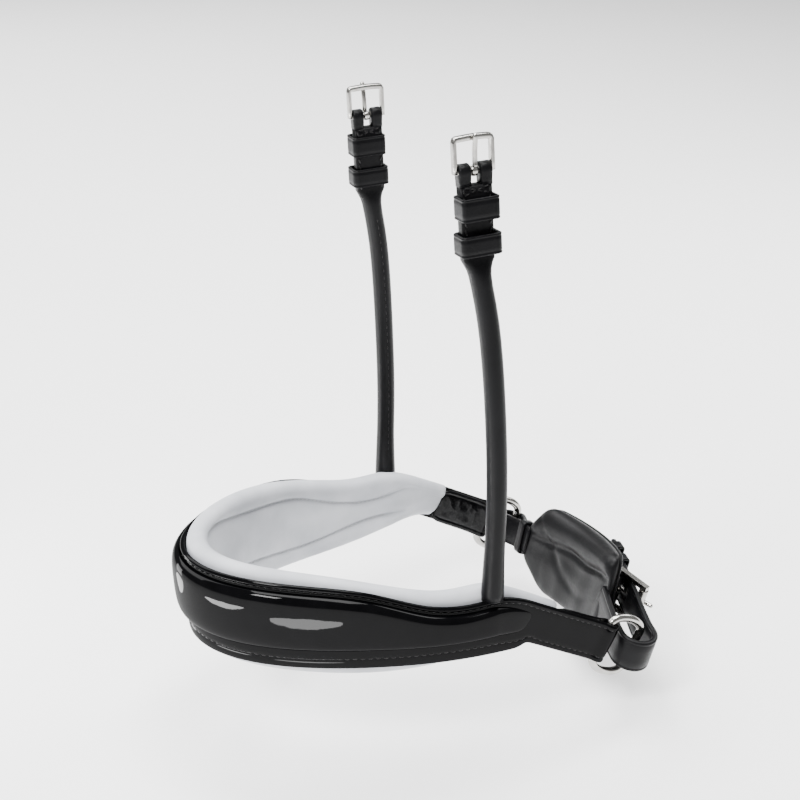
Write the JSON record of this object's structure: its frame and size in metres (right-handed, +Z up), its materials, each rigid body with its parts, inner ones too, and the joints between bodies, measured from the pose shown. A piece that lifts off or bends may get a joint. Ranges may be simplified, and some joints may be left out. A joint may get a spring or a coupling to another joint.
{
  "type": "crank noseband",
  "caption": "Padded patent-leather crank noseband: pale lining, rolled cheek straps with buckles, oval rings, chin pad and doubled-back crank strap with roller buckle.",
  "frame": {"origin": "on the lining's inner face at the middle of the nose, level with the roots of the cheek straps", "axes": "+X runs back from the nose to the chin, +Y to the horse's right, +Z up the cheek straps"},
  "size_m": [0.2094, 0.1379, 0.2528],
  "materials": {
    "patent_leather": "black patent, mirror gloss",
    "lining_leather": "soft pale grey, fine grain",
    "black_leather": "semi-matte, smooth",
    "pad_leather": "soft matte",
    "foam": "matt, unseen",
    "cord": "matt, unseen",
    "nickel": "satin nickel plate"
  },
  "bodies": {
    "noseband": {"patent_base": "patent_leather", "lining_skin": "lining_leather", "lining_foam": "foam", "raised_panel": "patent_leather", "panel_filler": "foam", "left_strap_root": "black_leather", "right_strap_root": "black_leather"},
    "left_cheek": {"left_cheek_strap": "black_leather", "left_strap_core": "cord", "left_fixed_keeper": "black_leather"},
    "left_keeper_slide": {"left_runner": "black_leather"},
    "left_buckle": {"left_buckle_frame": "nickel"},
    "left_prong": {"left_buckle_tongue": "nickel"},
    "left_ring_body": {"left_ring": "nickel"},
    "right_cheek": {"right_cheek_strap": "black_leather", "right_strap_core": "cord", "right_fixed_keeper": "black_leather"},
    "right_keeper_slide": {"right_runner": "black_leather"},
    "right_buckle": {"right_buckle_frame": "nickel"},
    "right_prong": {"right_buckle_tongue": "nickel"},
    "right_ring_body": {"right_ring": "nickel"},
    "chin": {"chin_pad_cover": "pad_leather", "chin_pad_foam": "foam", "chin_pad_back": "pad_leather", "right_chin_strap": "black_leather", "right_chin_keeper": "black_leather", "crank_strap": "black_leather", "crank_chape": "black_leather", "crank_keeper": "black_leather"},
    "crank_runner_body": {"crank_runner": "black_leather"},
    "crank_buckle": {"crank_buckle_frame": "nickel"},
    "crank_roller_body": {"crank_roller": "nickel"},
    "crank_prong": {"crank_tongue": "nickel"}
  },
  "joints": [
    {"name": "left_cheek_flex", "type": "hinge", "parent": "noseband", "child": "left_cheek", "pos_m": [0.1, -0.06, 0.006], "axis": [0, 1, 0], "range_deg": [-25, 25]},
    {"name": "left_runner_slide", "type": "slide", "parent": "left_cheek", "child": "left_keeper_slide", "axis": [-0.0157, 0.0314, 0.9994], "range_m": [-0.0015, 0.003]},
    {"name": "left_buckle_swing", "type": "hinge", "parent": "left_cheek", "child": "left_buckle", "pos_m": [0.09732, -0.05465, 0.1763], "axis": [0.9999, 0.0005, 0.0157], "range_deg": [-50, 50]},
    {"name": "left_tongue_lift", "type": "hinge", "parent": "left_buckle", "child": "left_prong", "pos_m": [0.09732, -0.05465, 0.1763], "axis": [0.9999, 0.0005, 0.0157], "range_deg": [0, 70]},
    {"name": "right_cheek_flex", "type": "hinge", "parent": "noseband", "child": "right_cheek", "pos_m": [0.1, 0.06, 0.006], "axis": [0, 1, 0], "range_deg": [-25, 25]},
    {"name": "right_runner_slide", "type": "slide", "parent": "right_cheek", "child": "right_keeper_slide", "axis": [-0.0157, -0.0314, 0.9994], "range_m": [-0.0015, 0.003]},
    {"name": "right_buckle_swing", "type": "hinge", "parent": "right_cheek", "child": "right_buckle", "pos_m": [0.09732, 0.05465, 0.1763], "axis": [0.9999, -0.0005, 0.0157], "range_deg": [-50, 50]},
    {"name": "right_tongue_lift", "type": "hinge", "parent": "right_buckle", "child": "right_prong", "pos_m": [0.09732, 0.05465, 0.1763], "axis": [-0.9999, 0.0005, -0.0157], "range_deg": [0, 70]},
    {"name": "left_ring_swing", "type": "hinge", "parent": "noseband", "child": "left_ring_body", "pos_m": [0.1519, -0.0595, -0.0344], "axis": [0.5, 0, 0.866], "range_deg": [-10, 10]},
    {"name": "right_ring_swing", "type": "hinge", "parent": "noseband", "child": "right_ring_body", "pos_m": [0.1519, 0.0595, -0.0344], "axis": [0.5, 0, 0.866], "range_deg": [-10, 10]},
    {"name": "chin_pad_swing", "type": "hinge", "parent": "right_ring_body", "child": "chin", "pos_m": [0.1661, 0.0595, -0.0426], "axis": [0.5, 0, 0.866], "range_deg": [-10, 10]},
    {"name": "crank_runner_slide", "type": "slide", "parent": "chin", "child": "crank_runner_body", "axis": [0.2577, 0.9546, 0.1493], "range_m": [-0.003, 0.003]},
    {"name": "crank_buckle_swing", "type": "hinge", "parent": "chin", "child": "crank_buckle", "pos_m": [0.17936, -0.02281, -0.03546], "axis": [0.1634, -0.1954, 0.967], "range_deg": [0, 8]},
    {"name": "crank_roller_spin", "type": "hinge", "parent": "crank_buckle", "child": "crank_roller_body", "pos_m": [0.18463, -0.03551, -0.03892], "axis": [0.1634, -0.1954, 0.967], "continuous": true},
    {"name": "crank_tongue_lift", "type": "hinge", "parent": "crank_buckle", "child": "crank_prong", "pos_m": [0.17936, -0.02281, -0.03546], "axis": [0.1634, -0.1954, 0.967], "range_deg": [0, 50]}
  ],
  "couplings": [
    {"joint": "left_ring_swing", "follows": "right_ring_swing", "ratio": 1},
    {"joint": "chin_pad_swing", "follows": "right_ring_swing", "ratio": -1}
  ]
}
